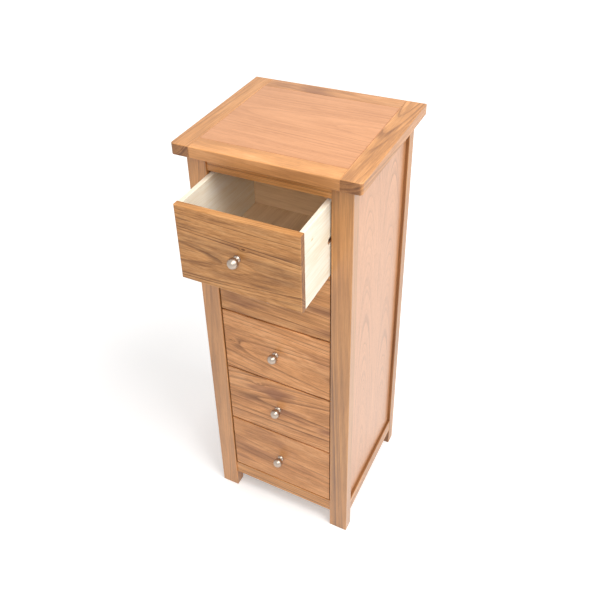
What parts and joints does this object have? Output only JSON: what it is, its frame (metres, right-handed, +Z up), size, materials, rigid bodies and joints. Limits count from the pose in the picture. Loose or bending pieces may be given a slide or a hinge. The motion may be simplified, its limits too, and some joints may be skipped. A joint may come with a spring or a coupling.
{
  "type": "tall chest of drawers",
  "caption": "Tall narrow oak chest on square posts, with a stack of equal inset drawers that slide out on wooden side runners, each with a metal ball knob.",
  "frame": {"origin": "on the floor, in the middle of the rectangle that the four posts stand in", "axes": "+X to the chest's right as seen from the front, +Y to its back, +Z up; the drawers slide out along -Y"},
  "size_m": [0.45, 0.5476, 1.155],
  "materials": {
    "oak": "satin lacquer over solid oak",
    "oak_veneer": "satin lacquer over oak veneer",
    "pine": "planed bare softwood",
    "plywood": "sanded bare plywood",
    "nickel": "satin nickel",
    "steel": "zinc-plated steel"
  },
  "bodies": {
    "carcass": {"left_front_post": "oak", "left_back_post": "oak", "right_front_post": "oak", "right_back_post": "oak", "left_bottom_rail": "oak", "left_top_rail": "oak", "right_bottom_rail": "oak", "right_top_rail": "oak", "front_bottom_rail": "oak", "front_top_rail": "oak", "back_bottom_rail": "oak", "back_top_rail": "oak", "left_side_panel": "oak_veneer", "right_side_panel": "oak_veneer", "back_panel": "plywood", "left_upright": "pine", "right_upright": "pine", "runners": "pine", "top_left_end": "oak", "top_right_end": "oak", "top_front_strip": "oak", "top_back_strip": "oak", "top_panel": "oak_veneer", "runner_screws": "steel", "top_screws": "steel"},
    "drawer_1": {"drawer_1_front": "oak", "drawer_1_left_side": "pine", "drawer_1_right_side": "pine", "drawer_1_back": "pine", "drawer_1_bottom": "plywood", "drawer_1_knob": "nickel", "drawer_1_knob_screw": "steel"},
    "drawer_2": {"drawer_2_front": "oak", "drawer_2_left_side": "pine", "drawer_2_right_side": "pine", "drawer_2_back": "pine", "drawer_2_bottom": "plywood", "drawer_2_knob": "nickel", "drawer_2_knob_screw": "steel"},
    "drawer_3": {"drawer_3_front": "oak", "drawer_3_left_side": "pine", "drawer_3_right_side": "pine", "drawer_3_back": "pine", "drawer_3_bottom": "plywood", "drawer_3_knob": "nickel", "drawer_3_knob_screw": "steel"},
    "drawer_4": {"drawer_4_front": "oak", "drawer_4_left_side": "pine", "drawer_4_right_side": "pine", "drawer_4_back": "pine", "drawer_4_bottom": "plywood", "drawer_4_knob": "nickel", "drawer_4_knob_screw": "steel"},
    "drawer_5": {"drawer_5_front": "oak", "drawer_5_left_side": "pine", "drawer_5_right_side": "pine", "drawer_5_back": "pine", "drawer_5_bottom": "plywood", "drawer_5_knob": "nickel", "drawer_5_knob_screw": "steel"}
  },
  "joints": [
    {"name": "drawer_1_slide", "type": "slide", "parent": "carcass", "child": "drawer_1", "axis": [0, -1, 0], "range_m": [-0.142, 0.018]},
    {"name": "drawer_2_slide", "type": "slide", "parent": "carcass", "child": "drawer_2", "axis": [0, -1, 0], "range_m": [0, 0.16]},
    {"name": "drawer_3_slide", "type": "slide", "parent": "carcass", "child": "drawer_3", "axis": [0, -1, 0], "range_m": [0, 0.16]},
    {"name": "drawer_4_slide", "type": "slide", "parent": "carcass", "child": "drawer_4", "axis": [0, -1, 0], "range_m": [0, 0.16]},
    {"name": "drawer_5_slide", "type": "slide", "parent": "carcass", "child": "drawer_5", "axis": [0, -1, 0], "range_m": [0, 0.16]}
  ]
}
